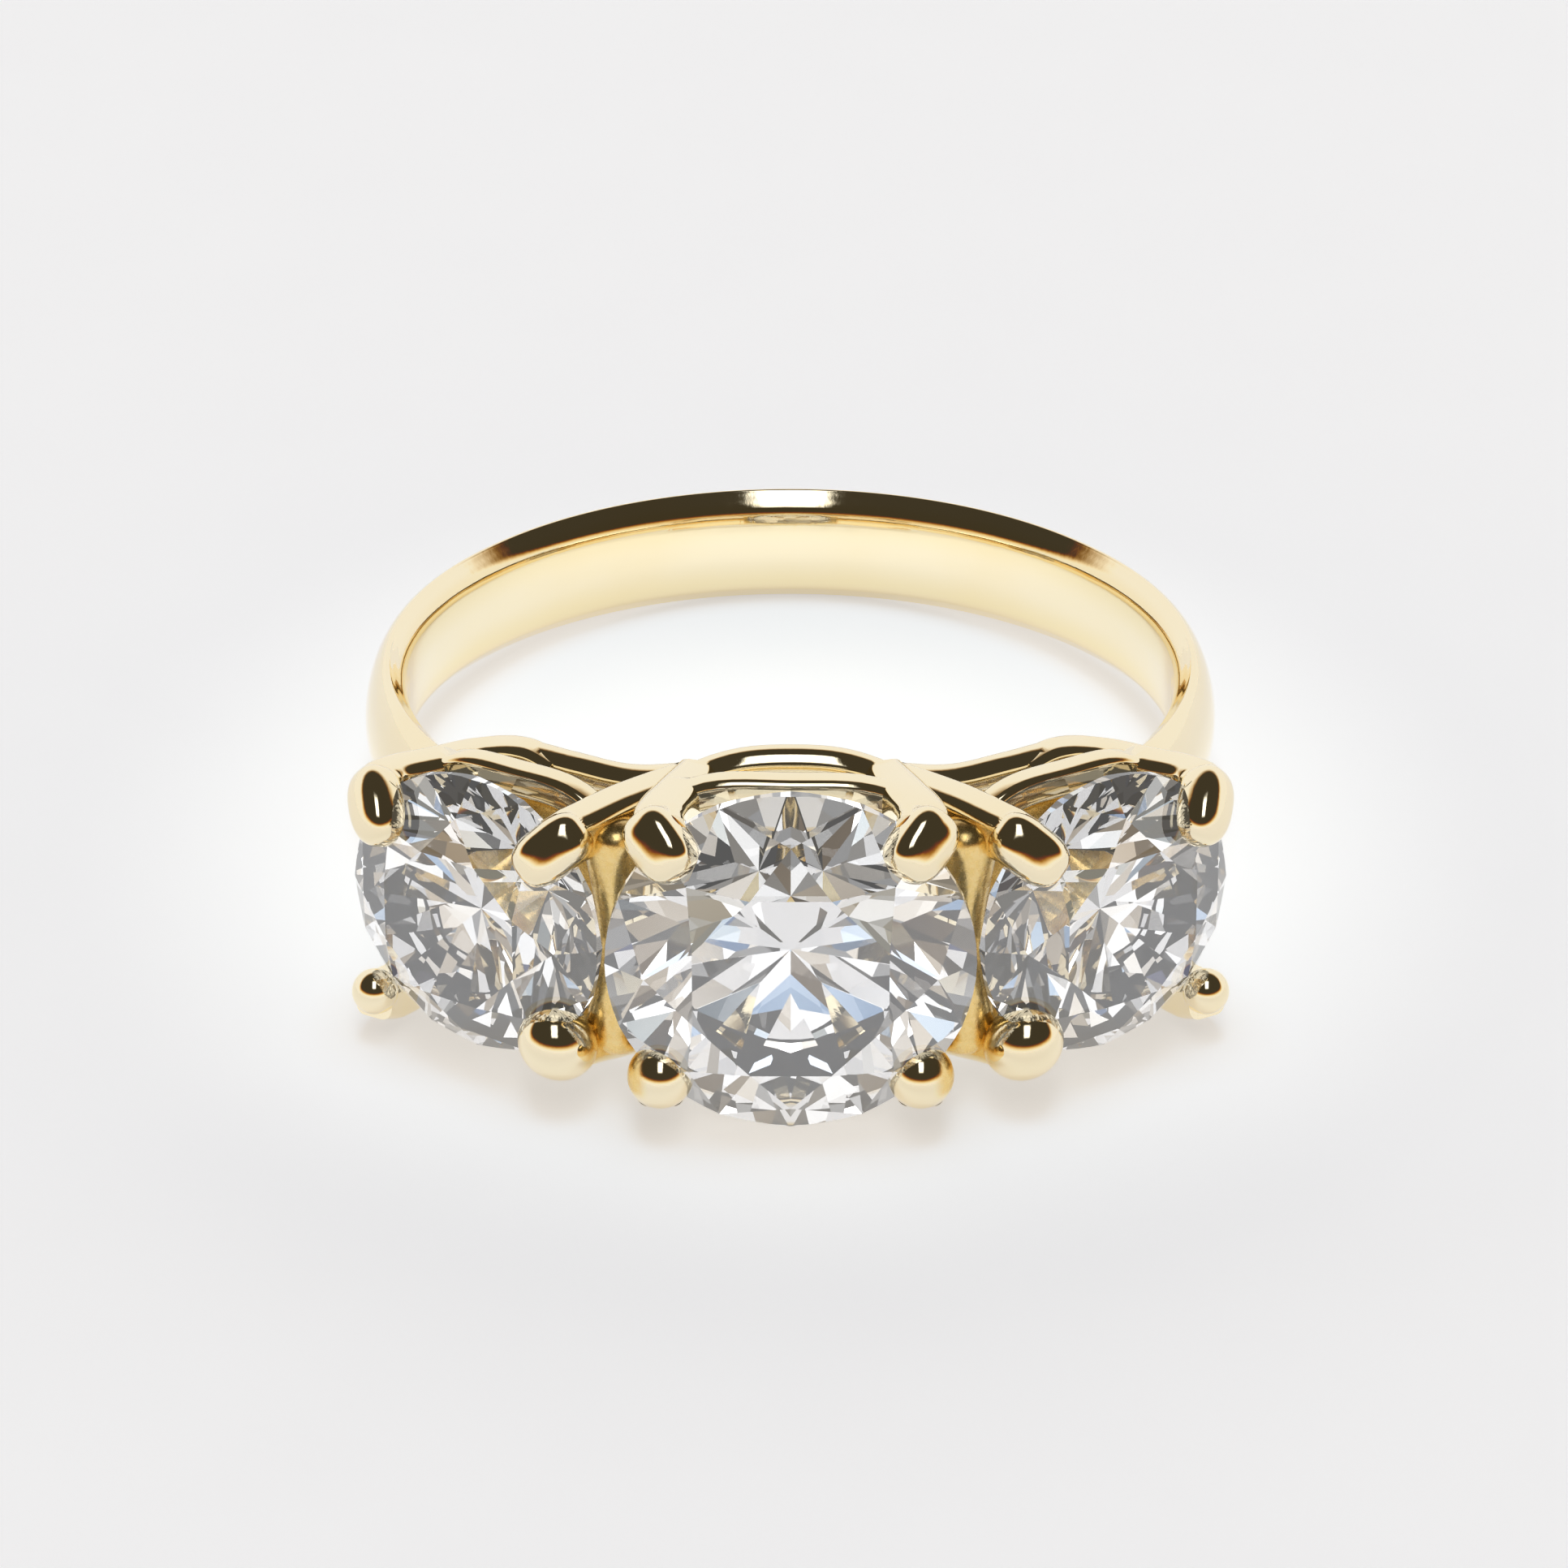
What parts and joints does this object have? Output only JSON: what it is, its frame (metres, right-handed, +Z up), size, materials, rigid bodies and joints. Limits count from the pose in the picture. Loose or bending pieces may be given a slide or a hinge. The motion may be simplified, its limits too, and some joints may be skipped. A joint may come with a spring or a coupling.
{
  "type": "three-stone ring",
  "caption": "Slim domed band with a trellis head whose open wire baskets hold a large round brilliant and a smaller one at each side of it.",
  "frame": {"origin": "on the floor, below the middle of the ring's footprint as it lies on its side", "axes": "+Z up; the stones face -Y and the finger's axis leans 6.9 degrees from +Z towards +Y, as the ring lies on the girdle of its centre stone and the back of its shank"},
  "size_m": [0.019, 0.023, 0.0077],
  "materials": {
    "gold": "polished yellow gold",
    "diamond": "polished, clear and colourless"
  },
  "bodies": {
    "root": {"ring_mount": "gold", "centre_stone": "diamond", "left_stone": "diamond", "right_stone": "diamond"}
  },
  "joints": []
}
